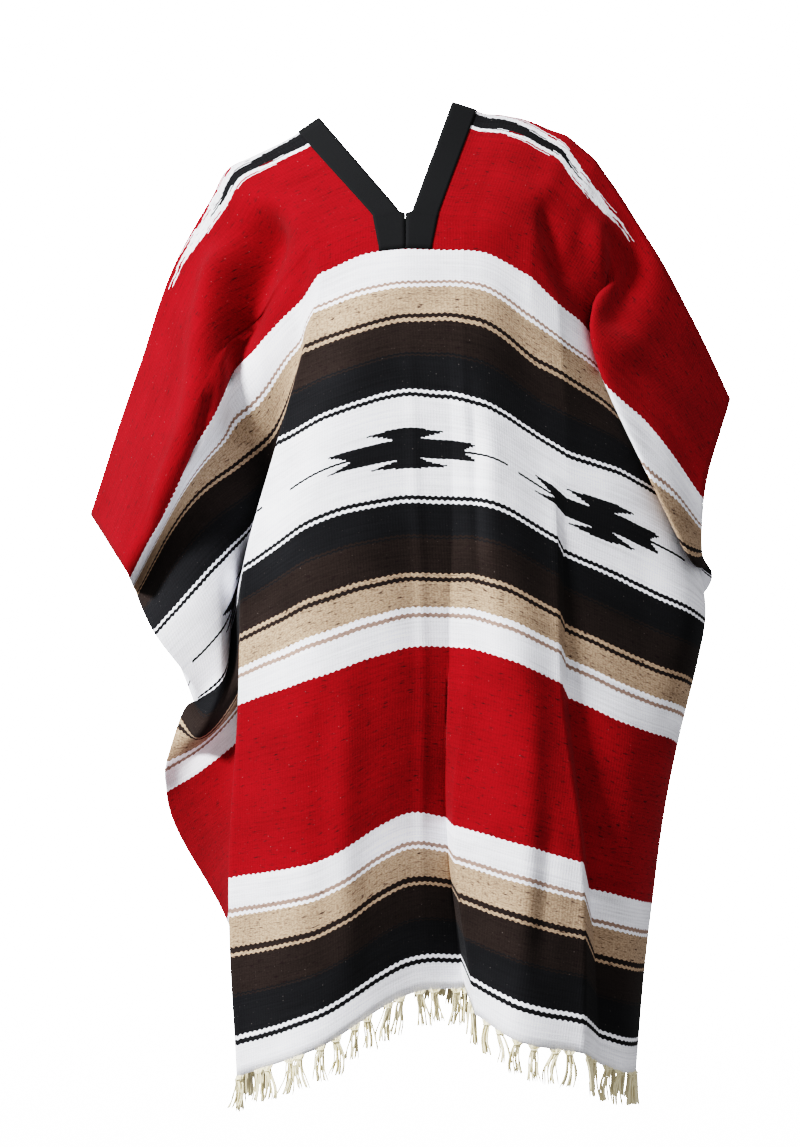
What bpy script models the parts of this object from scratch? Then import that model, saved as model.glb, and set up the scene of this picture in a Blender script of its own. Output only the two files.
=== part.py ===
"""A handwoven striped poncho as it hangs on its wearer, hollow and open at the neck, hem and sides.

One length of cloth runs from the back hem over the shoulders to the front hem. A slit along its middle makes
the neck, and a black band is folded over each side of the slit. The warp ends hang from both hems as a fringe.
X runs to the right as the front is seen, -Y is the front and +Z is up. The origin lies between the shoulders,
at the height of the shoulder line. Tables are in millimetres and the model is in metres.
"""

import math
from collections import namedtuple

import bpy
import numpy as np

MM = 0.001

# The cloth: its length from the shoulder line, its wall, and the lengths along it where sections are given.
SHOULDER_TO_HEM = 1065.0
WALL = 2.2
SEAM_GAP = 0.3
SECTIONS = {"shoulder": 0.0, "chest": 190.0, "bust": 268.0, "ribs": 361.0, "waist": 480.0, "flank": 567.0,
            "seat": 606.0, "hip": 652.0, "thigh": 850.0, "hem": SHOULDER_TO_HEM}
ROWS_BELOW_SLIT = 17

# The neck slit: its rows down the front and the back, and how far down it stands open as a V with a blunt
# bottom. It is closed below that. The last row joins the two sides of the cloth, and the bands end before it.
OPEN_FRONT = 146.0
OPEN_BACK = 142.0
V_CLOSES = 7.0
SLIT_ROWS_FRONT = (18.0, 42.0, 72.0, 110.0, OPEN_FRONT, OPEN_FRONT + V_CLOSES, 189.5, 190.5)
SLIT_ROWS_BACK = (18.0, 42.0, 70.0, 105.0, OPEN_BACK, OPEN_BACK + V_CLOSES, 183.5, 184.5)
SLIT_HALF_GAP = 1.5
V_HALF_BOTTOM = 5.0
PEAK_LEFT = (-103.0, -12.0, -4.0)
PEAK_RIGHT = (52.0, -12.0, 14.0)
V_FRONT = (-3.0, -104.0, -114.0)
V_BACK = (-5.0, 92.0, -112.0)

# The bands that bind the slit, folded over its edge.
BAND_WALL = 1.0
BAND_OUTER_LEG = 29.0
BAND_FACES = 2

# The fringe: knotted bunches of warp ends below a narrow heading.
BUNCHES = 41
STRANDS_IN_BUNCH = 3
HEADING_HEIGHT = 3.5
FRINGE_LENGTH = 43.0
UNEVEN_ENDS = 3.0
STRAND_THICKNESS = 2.6
HEM_GAP = 0.7

# A strand's two lengths: the share of the way down where each ends, how far it is drawn to the knot there or
# splayed from it, how far it sways and leans, and its share of the root's width.
StrandEnd = namedtuple("StrandEnd", "down draw sway lean width")
STRAND_ENDS = (
    StrandEnd(0.45, 0.8, 1.2, 0.8, 0.62),
    StrandEnd(1.0, -1.76, 3.5, 2.5, 0.5),
)

# The lines along which the front is folded, from the left selvage to the right one. Each row gives how many
# faces lie before the next line, how near to the line its sharp corner bends (0 for a smooth line), and the
# line's place across (x), towards the back (y) and up (z) at each section.
FoldLine = namedtuple("FoldLine", "name faces corner across depth height")
LEFT_LINES = (
    FoldLine("selvage", 4, 0,
             (-371, -322, -316, -294, -243, -264, -281, -282, -212, -158),
             (26, -70, -12, -68, -52, -30, -22, 10, 62, 62),
             (-464, -537, -556, -601, -676, -700, -752, -788, -940, -1098)),
    FoldLine("wing", 5, 0,
             (-311, -251, -250, -226, -221, -244, -243, -240, -208, -172),
             (14, -112, -72, -66, -60, -58, -22, -18, 34, 34),
             (-286, -402, -448, -524, -659, -722, -731, -762, -922, -1100)),
    FoldLine("tuck", 5, 0,
             (-266, -182, -155, -178, -205, -196, -197, -199, -198, -190),
             (-2, -72, -48, -26, -20, -52, -22, -36, -25, -20),
             (-161, -281, -366, -470, -592, -667, -684, -730, -898, -1104)),
    FoldLine("fold_edge", 4, 9,
             (-207, -101, -118, -149, -187, -192, -193, -194, -206, -197),
             (-14, -118, -122, -124, -120, -118, -118, -116, -98, -92),
             (-61, -189, -272, -379, -523, -602, -641, -684, -883, -1113)),
    FoldLine("breast", 3, 0,
             (-136, -49, -72, -90, -101, -104, -104, -105, -109, -109),
             (-14, -126, -144, -159, -168, -171, -171, -170, -154, -138),
             (-26, -167, -256, -350, -467, -558, -602, -652, -864, -1080)),
)
CENTRE_LINE = FoldLine("centre", 1, 0,
                       (0, -3, -2, 5, 8, 13, 15, 17, 14, 20),
                       (0, -128, -145, -157, -162, -159, -157, -154, -131, -112),
                       (0, -161, -238, -324, -444, -531, -570, -616, -807, -1012))
RIGHT_LINES = (
    FoldLine("valley", 2, 4,
             (91, 43, 45, 48, 51, 50, 48, 47, 44, 66),
             (-14, -126, -142, -154, -157, -152, -150, -146, -117, -96),
             (1, -162, -237, -327, -445, -532, -570, -616, -812, -1011)),
    FoldLine("step", 3, 4,
             (109, 63, 63, 63, 68, 71, 72, 71, 52, 78),
             (-14, -125, -142, -156, -162, -161, -160, -158, -140, -146),
             (0, -162, -239, -330, -446, -532, -572, -618, -820, -1038)),
    FoldLine("ridge", 3, 0,
             (131, 85, 83, 79, 85, 106, 117, 127, 128, 123),
             (-14, -122, -140, -155, -168, -174, -176, -176, -170, -170),
             (-4, -164, -243, -334, -448, -542, -586, -636, -841, -1066)),
    FoldLine("crease", 2, 6,
             (186, 140, 148, 158, 170, 172, 173, 175, 200, 202),
             (-12, -110, -122, -132, -146, -152, -154, -155, -150, -150),
             (-25, -191, -288, -380, -491, -575, -613, -659, -863, -1083)),
    FoldLine("shelf", 3, 6,
             (217, 172, 178, 183, 178, 179, 180, 183, 207, 221),
             (-10, -98, -114, -126, -138, -140, -140, -138, -118, -115),
             (-51, -222, -303, -394, -506, -590, -628, -675, -894, -1097)),
    FoldLine("side", 3, 0,
             (244, 205, 230, 255, 267, 266, 263, 261, 255, 246),
             (-8, -72, -84, -95, -105, -110, -112, -112, -95, -98),
             (-88, -246, -338, -420, -545, -629, -666, -710, -907, -1107)),
    FoldLine("tuck", 3, 0,
             (267, 228, 288, 320, 332, 320, 312, 303, 279, 262),
             (-4, -46, -42, -38, -70, -77, -76, -75, -55, -60),
             (-124, -276, -414, -474, -577, -650, -684, -724, -913, -1109)),
    FoldLine("wing_edge", 3, 0,
             (293, 225, 322, 334, 344, 330, 321, 311, 282, 262),
             (0, -90, -90, -26, -45, -40, -35, -30, -15, -20),
             (-165, -308, -504, -516, -586, -657, -692, -734, -916, -1108)),
    FoldLine("wing", 3, 0,
             (329, 278, 332, 342, 334, 317, 307, 298, 272, 252),
             (14, -75, -76, -14, 0, 8, 12, 15, 25, 20),
             (-231, -362, -507, -526, -588, -659, -695, -738, -920, -1106)),
    FoldLine("selvage", 0, 0,
             (377, 343, 340, 355, 325, 304, 295, 285, 258, 236),
             (30, -45, -56, 4, 35, 49, 54, 58, 60, 55),
             (-329, -448, -508, -536, -590, -661, -699, -742, -925, -1102)),
)

# Near the shoulder line the corners are rounder, so that they fade into the smooth shoulders.
CORNER_AT_SHOULDER = 60.0

# The back hangs plainer. Each row is a section: its middle, its two selvages, and how deep its folds are.
BackSection = namedtuple("BackSection", "middle left right fold")
BACK_SECTIONS = {
    "chest": BackSection((-6, 106, -146), (-312, 86, -520), (338, 84, -436), 0.05),
    "bust": BackSection((-4, 118, -224), (-296, 60, -566), (336, 60, -486), 0.12),
    "ribs": BackSection((-2, 126, -316), (-276, 76, -622), (330, 78, -548), 0.25),
    "waist": BackSection((2, 132, -432), (-246, 58, -700), (314, 70, -634), 0.45),
    "hip": BackSection((8, 134, -600), (-230, 76, -812), (284, 92, -764), 0.7),
    "thigh": BackSection((14, 134, -793), (-190, 96, -944), (254, 98, -920), 0.9),
    "hem": BackSection((20, 132, -998), (-186, 96, -1078), (242, 96, -1080), 1.0),
}
BackFold = namedtuple("BackFold", "at width depth")
BACK_FOLDS = (
    BackFold(-0.84, 0.070, 44),
    BackFold(-0.57, 0.075, 60),
    BackFold(-0.27, 0.080, 52),
    BackFold(0.05, 0.075, 62),
    BackFold(0.34, 0.080, 54),
    BackFold(0.62, 0.070, 58),
    BackFold(0.87, 0.060, 40),
)
FOLD_VALLEY = 16.0
SIDE_CROWDING = 0.25
ARM_SLOPE = 1.55
BACK_ROUNDNESS = 2.5
SLIT_PULL = 0.3

RED = (0.52, 0.012, 0.020)
BLACK = (0.012, 0.012, 0.014)
CREAM = (0.72, 0.66, 0.50)
CLOTH_ROUGHNESS = 0.95
BAND_ROUGHNESS = 0.8


def smooth_curve(at, values, wanted):
    """Values at the wanted places on the cubic curve through (at, values)."""
    at = np.asarray(at, float)
    values = np.asarray(values, float)
    wanted = np.atleast_1d(np.asarray(wanted, float))
    gaps = np.diff(at)
    rises = np.diff(values, axis=0) / gaps[:, None]
    share = (gaps[:-1] / (gaps[:-1] + gaps[1:]))[:, None]
    slopes = np.vstack([rises[:1], rises[:-1] * (1 - share) + rises[1:] * share, rises[-1:]])
    i = np.clip(np.searchsorted(at, wanted, side="right") - 1, 0, len(gaps) - 1)
    u = ((wanted - at[i]) / gaps[i])[:, None]
    gap = gaps[i][:, None]
    return ((1 + 2 * u) * (1 - u) ** 2 * values[i] + u * (1 - u) ** 2 * gap * slopes[i]
            + u ** 2 * (3 - 2 * u) * values[i + 1] - u ** 2 * (1 - u) * gap * slopes[i + 1])


def lengths_along(points):
    """The distance along a chain of points to each of them."""
    return np.concatenate([[0.0], np.cumsum(np.linalg.norm(np.diff(points, axis=0), axis=1))])


def back_points(section, share):
    """Points of the back on a section; share runs from -1 at the left selvage to 1 at the right one."""
    out = np.abs(share)[:, None]
    side = np.where((share < 0)[:, None], section.left, section.right)
    middle = np.array(section.middle, float)
    points = np.empty((len(share), 3))
    spread = (1 + SIDE_CROWDING) * out - SIDE_CROWDING * out ** 2
    points[:, 0] = (middle + (side - middle) * spread)[:, 0]
    points[:, 1] = (side + (middle - side) * (1 - out ** BACK_ROUNDNESS))[:, 1]
    points[:, 2] = (middle + (side - middle) * out ** ARM_SLOPE)[:, 2]
    ridges = sum(f.depth * np.exp(-((share - f.at) / f.width) ** 2) for f in BACK_FOLDS)
    points[:, 1] += section.fold * (ridges - FOLD_VALLEY)
    return points


def line_points(lines, down):
    """The fold lines' points at a distance down the front."""
    at = list(SECTIONS.values())
    return [smooth_curve(at, list(zip(f.across, f.depth, f.height)), down)[0] for f in lines]


def centre_point(down):
    """A point of the front's middle line, which starts at the bottom of the V."""
    at = [OPEN_FRONT] + list(SECTIONS.values())[1:]
    points = [V_FRONT] + list(zip(CENTRE_LINE.across, CENTRE_LINE.depth, CENTRE_LINE.height))[1:]
    return smooth_curve(at, points, down)[0]


def slit_edge(down, opens, peak, bottom, low, side):
    """A point of the slit's edge: straight down the V to its blunt bottom, then close beside the middle."""
    past = max(down - opens, 0.0)
    half_gap = V_HALF_BOTTOM + (SLIT_HALF_GAP - V_HALF_BOTTOM) * min(past / V_CLOSES, 1.0)
    end = np.array(low if past else bottom) + (side * half_gap, 0, 0)
    return end if past else np.array(peak) + (end - np.array(peak)) * down / opens


def cornered(points, corners, down):
    """A chain with two more points near each sharp corner, so that only the cloth between them bends, and where
    the given points are in it."""
    chain, marks = [], []
    rounder = max(1 - down / SECTIONS["chest"], 0.0)
    for k, (point, corner) in enumerate(zip(points, corners)):
        inner = corner and 0 < k < len(points) - 1
        gaps = [np.array(points[k + d]) - point for d in (-1, 1)] if inner else []
        reach = corner + (CORNER_AT_SHOULDER - corner) * rounder
        shares = [min(reach / np.linalg.norm(gap), 0.35) for gap in gaps]
        chain += [point + gap * share for gap, share in zip(gaps[:1], shares)] + [point]
        marks.append(len(chain) - 1)
        chain += [point + gap * share for gap, share in zip(gaps[1:], shares[1:])]
    return np.array(chain), marks


def chain_places(along, faces, middle):
    """Where the faces' corners fall along a chain: evenly between its points, but for a band's width beside
    the middle of the cloth."""
    places = []
    for k, (a, b, n) in enumerate(zip(along[:-1], along[1:], faces)):
        if k == middle:
            places += list(np.linspace(a, a + BAND_OUTER_LEG, BAND_FACES + 1))[:-1]
            a += BAND_OUTER_LEG
        if k == middle - 1:
            places += list(np.linspace(a, b - BAND_OUTER_LEG, n + 1))[:-1]
            places += list(np.linspace(b - BAND_OUTER_LEG, b, BAND_FACES + 1))[:-1]
        else:
            places += list(np.linspace(a, b, n + 1))[:-1]
    return places + [along[-1]]


LEFT_FACES = [f.faces for f in LEFT_LINES]
RIGHT_FACES = [CENTRE_LINE.faces] + [f.faces for f in RIGHT_LINES[:-1]]
LEFT_CORNERS = [f.corner for f in LEFT_LINES]
RIGHT_CORNERS = [f.corner for f in RIGHT_LINES]


def row_through(points, corners, faces, middle, down):
    """The corners of a row, on the curve through its fold lines."""
    chain, marks = cornered(points, corners, down)
    along = lengths_along(chain)
    return smooth_curve(along, chain, chain_places(along[marks], faces, middle))


def front_row(down):
    """The corners of a row of the front's middle surface: the left half's, then the right half's."""
    left, right = line_points(LEFT_LINES, down), line_points(RIGHT_LINES, down)
    centre = centre_point(down)
    if down < SLIT_ROWS_FRONT[-1]:
        edges = [slit_edge(down, OPEN_FRONT, peak, V_FRONT, centre, side)
                 for side, peak in ((-1, PEAK_LEFT), (1, PEAK_RIGHT))]
        return (row_through(left + edges[:1], LEFT_CORNERS + [0], LEFT_FACES, len(LEFT_FACES), down),
                row_through(edges[1:] + right, [0] + RIGHT_CORNERS, RIGHT_FACES, 0, down))
    row = row_through(left + [centre] + right, LEFT_CORNERS + [0] + RIGHT_CORNERS, LEFT_FACES + RIGHT_FACES,
                      len(LEFT_FACES), down)
    middle = sum(LEFT_FACES) + BAND_FACES
    return row[:middle + 1], row[middle:]


def back_row(down):
    """The corners of a row of the back's middle surface; down is negative. Each corner keeps its share of the
    half width from the shoulder line to the hem."""
    names = [name for name in list(SECTIONS)[::-1] if name in BACK_SECTIONS]
    at = [-SECTIONS[n] for n in names] + [0.0, SECTIONS["chest"]]
    tops, chests = front_row(0.0), front_row(SECTIONS["chest"])
    halves = []
    for half, (side, peak) in enumerate(((-1, PEAK_LEFT), (1, PEAK_RIGHT))):
        top, chest = tops[half][::side], chests[half][::side]
        shares = lengths_along(top) / lengths_along(top)[-1]
        knots = np.array([back_points(BACK_SECTIONS[n], side * shares) for n in names] + [top, chest])
        both = smooth_curve(at, knots.reshape(len(at), -1), (down, -SLIT_ROWS_BACK[-1]))
        row, end_row = both.reshape(2, len(shares), 3)
        if -down < SLIT_ROWS_BACK[-1]:
            past = max((-down - OPEN_BACK) / (SLIT_ROWS_BACK[-1] - OPEN_BACK), 0.0)
            low = np.array(V_BACK) + (end_row[0] - V_BACK) * past
            pull = (np.clip(1 - shares / SLIT_PULL, 0, 1) ** 2)[:, None]
            row += (slit_edge(-down, OPEN_BACK, peak, V_BACK, low, side) - row[0]) * pull
        halves.append(row[::side])
    if -down >= SLIT_ROWS_BACK[-1]:
        halves[0][-1] = halves[1][0] = (halves[0][-1] + halves[1][0]) / 2
    return halves


def row_at(down):
    """The corners of the cloth's middle surface at a distance down it, and whether the slit parts them."""
    left, right = front_row(down) if down >= 0 else back_row(down)
    return left, right, -SLIT_ROWS_BACK[-1] < down < SLIT_ROWS_FRONT[-1]


def rows_down():
    """Distances of the cloth's rows from back hem to front hem."""
    def below(slit):
        return [slit + (SHOULDER_TO_HEM - slit) * i / ROWS_BELOW_SLIT for i in range(1, ROWS_BELOW_SLIT + 1)]
    back = list(SLIT_ROWS_BACK) + below(SLIT_ROWS_BACK[-1])
    return [-d for d in back[::-1]] + [0.0] + list(SLIT_ROWS_FRONT) + below(SLIT_ROWS_FRONT[-1])


def material(name, colour, roughness):
    made = bpy.data.materials.new(name)
    made.use_nodes = True
    shader = made.node_tree.nodes["Principled BSDF"]
    shader.inputs["Base Color"].default_value = (*colour, 1.0)
    shader.inputs["Roughness"].default_value = roughness
    shader.inputs["Metallic"].default_value = 0.0
    return made


def add_object(name, points, faces, finish):
    """A mesh object from points in millimetres."""
    mesh = bpy.data.meshes.new(name)
    mesh.from_pydata([tuple(p * MM for p in point) for point in points], [], faces)
    mesh.validate()
    mesh.materials.append(finish)
    mesh.shade_smooth()
    made = bpy.data.objects.new(name, mesh)
    bpy.context.scene.collection.objects.link(made)
    return made


def sheet_normals(grid):
    """Unit normals of a grid of points, from the directions along its rows and columns."""
    across = np.gradient(grid, axis=1)
    down = np.gradient(grid, axis=0)
    normals = np.cross(down, across)
    return normals / np.linalg.norm(normals, axis=2)[:, :, None]


def grid_faces(rows):
    """Faces between neighbouring rows of point numbers."""
    return [(a[j], b[j], b[j + 1], a[j + 1]) for a, b in zip(rows[:-1], rows[1:]) for j in range(len(a) - 1)]


def rim_faces(loop, count):
    """Faces that close a wall along its edge. The numbers of its far side's points are higher by count."""
    return [(a, b, b + count, a + count) for a, b in zip(loop[:-1], loop[1:])]


def cloth_grid():
    """The cloth's middle points and normals, each half as a grid of rows, and which rows the slit parts."""
    rows = [row_at(down) for down in rows_down()]
    left = np.array([r[0] for r in rows])
    right = np.array([r[1] for r in rows])
    parted = [r[2] for r in rows]
    left_normals, right_normals = sheet_normals(left), sheet_normals(right)
    for i, slit in enumerate(parted):
        if not slit:
            joined = left_normals[i, -1] + right_normals[i, 0]
            left_normals[i, -1] = right_normals[i, 0] = joined / np.linalg.norm(joined)
    return left, right, left_normals, right_normals, parted


def make_cloth(grid, finish):
    """The whole length of cloth, with the neck slit left open along its middle."""
    left, right, left_normals, right_normals, parted = grid
    middles, normals, lefts, rights = [], [], [], []
    for i, slit in enumerate(parted):
        lefts.append(list(range(len(middles), len(middles) + len(left[i]))))
        middles += list(left[i])
        normals += list(left_normals[i])
        start = 0 if slit else 1
        first = [] if slit else [lefts[-1][-1]]
        rights.append(first + list(range(len(middles), len(middles) + len(right[i]) - start)))
        middles += list(right[i][start:])
        normals += list(right_normals[i][start:])
    count = len(middles)
    points = [m + n * side * WALL / 2 for side in (1, -1) for m, n in zip(middles, normals)]
    faces = grid_faces(lefts) + grid_faces(rights)
    faces += [tuple(p + count for p in face[::-1]) for face in faces]
    opened = [i for i, slit in enumerate(parted) if slit]
    top, bottom = opened[0] - 1, opened[-1] + 1
    rims = [[row[0] for row in lefts[::-1]], lefts[0] + rights[0][1:], [row[-1] for row in rights],
            (lefts[-1] + rights[-1][1:])[::-1],
            [lefts[i][-1] for i in range(top, bottom + 1)],
            [rights[i][0] for i in range(bottom, top - 1, -1)]]
    for rim in rims:
        faces += rim_faces(rim, count)
    add_object("cloth", points, faces, finish)


def make_band(name, middles, normals, finish):
    """A band folded over one side of the slit. Its points are the cloth's own, moved out of the cloth's wall.
    Each row of the points handed in runs from the slit's edge to the band's outer edge."""
    inner, outer = WALL / 2 + SEAM_GAP, WALL / 2 + SEAM_GAP + BAND_WALL
    edgeward = middles[:, 0] - middles[:, 1]
    edgeward /= np.linalg.norm(edgeward, axis=1)[:, None]
    sections = []
    for here, normal, edge in zip(middles, normals, edgeward):
        section = [here[k] + normal[k] * inner for k in range(BAND_FACES, 0, -1)]
        section += [here[0] + normal[0] * side * inner + edge * SEAM_GAP for side in (1, -1)]
        section += [here[1] - normal[1] * inner, here[1] - normal[1] * outer]
        section += [here[0] - normal[0] * outer + edge * (SEAM_GAP + BAND_WALL)]
        section += [here[0] + normal[0] * outer + edge * (SEAM_GAP + BAND_WALL)]
        section += [here[k] + normal[k] * outer for k in range(1, BAND_FACES + 1)]
        sections.append(section)
    wide = len(sections[0])
    points = [p for section in sections for p in section]
    faces = [(i * wide + j, i * wide + (j + 1) % wide, (i + 1) * wide + (j + 1) % wide, (i + 1) * wide + j)
             for i in range(len(sections) - 1) for j in range(wide)]
    last = (len(sections) - 1) * wide
    for quad in band_end_quads(wide):
        faces += [tuple(quad[::-1]), tuple(q + last for q in quad)]
    if name.endswith("right"):
        faces = [face[::-1] for face in faces]
    add_object(name, points, faces, finish)


def band_end_quads(wide):
    """The quads that fill a band's hooked end section, between its inner and its outer side."""
    inside = list(range(wide // 2))
    outside = list(range(wide - 1, wide // 2 - 1, -1))
    pairs = list(zip(inside, outside))
    return [(a, b, d, c) for (a, c), (b, d) in zip(pairs[:-1], pairs[1:])]


def make_fringe(name, row, above, normals, finish):
    """A heading that carries on the cloth below its hem, with bunches of strands growing out of its underside.
    The heading has a corner below each corner of the cloth's hem."""
    columns = BUNCHES * (STRANDS_IN_BUNCH + 1) - 1
    along = lengths_along(row)
    corner_columns = np.round(along / along[-1] * columns)
    places = np.interp(np.arange(columns + 1), corner_columns, along)

    def at_columns(values):
        return np.column_stack([np.interp(places, along, values[:, axis]) for axis in range(3)])

    drop = row - above
    drop /= np.linalg.norm(drop, axis=1)[:, None]
    top = at_columns(row + drop * HEM_GAP)
    low = at_columns(row + drop * (HEM_GAP + HEADING_HEIGHT))
    out = at_columns(normals)
    out /= np.linalg.norm(out, axis=1)[:, None]
    forward = np.gradient(top, axis=0)
    forward /= np.linalg.norm(forward, axis=1)[:, None]
    half = out * STRAND_THICKNESS / 2
    points = [p for ring in zip(top + half, top - half, low - half, low + half) for p in ring]
    faces = [(0, 1, 2, 3)]
    for column in range(columns):
        a, b = 4 * column, 4 * column + 4
        faces += [(a, b, b + 1, a + 1), (a + 1, b + 1, b + 2, a + 2), (b, a, a + 3, b + 3)]
        root = (a + 3, a + 2, b + 2, b + 3)
        place = column % (STRANDS_IN_BUNCH + 1)
        if place == STRANDS_IN_BUNCH:
            faces.append(root)
        else:
            faces += strand(points, root, forward[column], out[column], column, place)
    faces.append((4 * columns + 3, 4 * columns + 2, 4 * columns + 1, 4 * columns))
    if forward[0][0] * out[0][1] > 0:
        faces = [face[::-1] for face in faces]
    add_object(name, points, faces, finish)


def strand(points, root, along, out, column, place):
    """A strand in two lengths below its root, drawn to its bunch's knot and then splayed; adds its points."""
    sway = math.sin(column * 2.4)
    middle = sum(points[r] for r in root) / 4
    length = FRINGE_LENGTH - HEADING_HEIGHT + UNEVEN_ENDS * math.sin(column * 1.7)
    faces = []
    above = root
    for end in STRAND_ENDS:
        aside = (1 - place) * end.draw + sway * end.sway
        centre = middle + along * aside + out * sway * end.lean + np.array([0.0, 0.0, -length * end.down])
        ring = []
        for r in root:
            ring.append(len(points))
            points.append(centre + (points[r] - middle) * end.width)
        faces += [(above[i], above[(i + 1) % 4], ring[(i + 1) % 4], ring[i]) for i in range(4)]
        above = ring
    faces.append(tuple(above))
    return faces


def clear_scene():
    for old in list(bpy.data.objects):
        bpy.data.objects.remove(old)


clear_scene()
red_cloth = material("striped_cloth", RED, CLOTH_ROUGHNESS)
black_band = material("black_band", BLACK, BAND_ROUGHNESS)
cream_yarn = material("cream_yarn", CREAM, CLOTH_ROUGHNESS)
cloth = cloth_grid()
left_half, right_half, left_out, right_out, open_rows = cloth
make_cloth(cloth, red_cloth)
slit_rows = [i for i, slit in enumerate(open_rows) if slit]
slit_part = slice(slit_rows[0], slit_rows[-1] + 1)
make_band("neck_band_left", left_half[slit_part, ::-1][:, :BAND_FACES + 1],
          left_out[slit_part, ::-1][:, :BAND_FACES + 1], black_band)
make_band("neck_band_right", right_half[slit_part, :BAND_FACES + 1],
          right_out[slit_part, :BAND_FACES + 1], black_band)
for fringe, hem, above in (("fringe_front", -1, -2), ("fringe_back", 0, 1)):
    edge_row = np.vstack([left_half[hem], right_half[hem][1:]])
    next_row = np.vstack([left_half[above], right_half[above][1:]])
    row_out = np.vstack([left_out[hem], right_out[hem][1:]])
    make_fringe(fringe, edge_row, next_row, row_out, cream_yarn)
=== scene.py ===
from collections import namedtuple

import bpy
import numpy as np
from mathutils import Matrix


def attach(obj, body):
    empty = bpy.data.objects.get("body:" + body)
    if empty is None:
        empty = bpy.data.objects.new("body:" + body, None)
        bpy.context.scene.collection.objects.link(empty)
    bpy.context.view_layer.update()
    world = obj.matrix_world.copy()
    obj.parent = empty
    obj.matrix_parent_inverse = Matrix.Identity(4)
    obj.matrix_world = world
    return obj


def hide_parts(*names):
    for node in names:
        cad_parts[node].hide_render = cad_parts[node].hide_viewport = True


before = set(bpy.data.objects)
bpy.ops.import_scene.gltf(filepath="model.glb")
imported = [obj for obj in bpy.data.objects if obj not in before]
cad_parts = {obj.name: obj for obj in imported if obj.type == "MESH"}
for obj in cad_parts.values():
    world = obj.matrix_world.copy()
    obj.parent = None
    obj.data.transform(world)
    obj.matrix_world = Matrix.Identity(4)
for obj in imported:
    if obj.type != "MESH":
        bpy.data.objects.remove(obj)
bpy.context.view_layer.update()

# Camera. The photo is taken from straight in front, level with the middle of the garment, from several
# metres away. One pixel of its 800 by 1147 is 1.15 mm on the front of the cloth.
PIXEL = 0.00115
PHOTO_WIDTH, PHOTO_HEIGHT = 800, 1147
ORIGIN_PIXEL = (408, 110)
FRONT_DEPTH = -0.11
CAMERA_DISTANCE = 8.0
SENSOR_HEIGHT = 24.0
camera_data = bpy.data.cameras.new("camera")
camera_data.sensor_fit = "VERTICAL"
camera_data.sensor_height = SENSOR_HEIGHT
camera_data.lens = SENSOR_HEIGHT * CAMERA_DISTANCE / (PHOTO_HEIGHT * PIXEL)
camera = bpy.data.objects.new("camera", camera_data)
camera.location = ((PHOTO_WIDTH / 2 - ORIGIN_PIXEL[0]) * PIXEL, FRONT_DEPTH - CAMERA_DISTANCE,
                   (ORIGIN_PIXEL[1] - PHOTO_HEIGHT / 2) * PIXEL)
camera.rotation_euler = (np.pi / 2, 0.0, 0.0)
bpy.context.scene.collection.objects.link(camera)
bpy.context.scene.camera = camera

# Cloth, shape. It is one handwoven length from back hem to front hem, with a slit cut in its middle for the
# head. Rows cross it at set distances from the shoulder line, and on each row a smooth curve runs through the
# fold lines. Tables are in millimetres, like those of the solid.
MM = 0.001
SHOULDER_TO_HEM = 1065.0
WALL = 2.2
SECTION_DOWN = (0.0, 190.0, 268.0, 361.0, 480.0, 567.0, 606.0, 652.0, 850.0, SHOULDER_TO_HEM)
BACK_DOWN = (0.0, 190.0, 268.0, 361.0, 480.0, 652.0, 850.0, SHOULDER_TO_HEM)
SLIT_END_FRONT, SLIT_END_BACK = 190.5, 184.5
OPEN_FRONT, OPEN_BACK = 146.0, 142.0
SLIT_HALF_GAP = 1.37
V_HALF_BOTTOM = 9.5
V_CLOSES = 5.0
PEAK_LEFT = (-103.0, -12.0, -4.0)
PEAK_RIGHT = (52.0, -12.0, 14.0)
V_FRONT = (-3.0, -104.0, -114.0)
V_BACK = (-5.0, 92.0, -112.0)
BAND_WIDTH = 29.0
BAND_EVENS = 40.0
BAND_FACES = 2
FINER = 5
FoldLine = namedtuple("FoldLine", "name faces corner across depth height")
LEFT_LINES = (
    FoldLine("selvage", 4, 0,
             (-371, -322, -316, -294, -243, -264, -281, -282, -212, -158),
             (26, -70, -12, -68, -52, -30, -22, 10, 62, 62),
             (-464, -537, -556, -601, -676, -700, -752, -788, -940, -1098)),
    FoldLine("wing", 5, 0,
             (-311, -251, -250, -226, -221, -244, -243, -240, -208, -172),
             (14, -112, -72, -66, -60, -58, -22, -18, 34, 34),
             (-286, -402, -448, -524, -659, -722, -731, -762, -922, -1100)),
    FoldLine("tuck", 5, 0,
             (-266, -182, -155, -178, -205, -196, -197, -199, -198, -190),
             (-2, -72, -48, -26, -20, -52, -22, -36, -25, -20),
             (-161, -281, -366, -470, -592, -667, -684, -730, -898, -1104)),
    FoldLine("fold_edge", 4, 9,
             (-207, -101, -118, -149, -187, -192, -193, -194, -206, -197),
             (-14, -118, -122, -124, -120, -118, -118, -116, -98, -92),
             (-61, -189, -272, -379, -523, -602, -641, -684, -883, -1113)),
    FoldLine("breast", 3, 0,
             (-136, -49, -72, -90, -101, -104, -104, -105, -109, -109),
             (-14, -126, -144, -159, -168, -171, -171, -170, -154, -138),
             (-26, -167, -256, -350, -467, -558, -602, -652, -864, -1080)),
)
CENTRE_LINE = FoldLine("centre", 1, 0,
                       (0, -3, -2, 5, 8, 13, 15, 17, 14, 20),
                       (0, -128, -145, -157, -162, -159, -157, -154, -131, -112),
                       (0, -161, -238, -324, -444, -531, -570, -616, -807, -1012))
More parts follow.
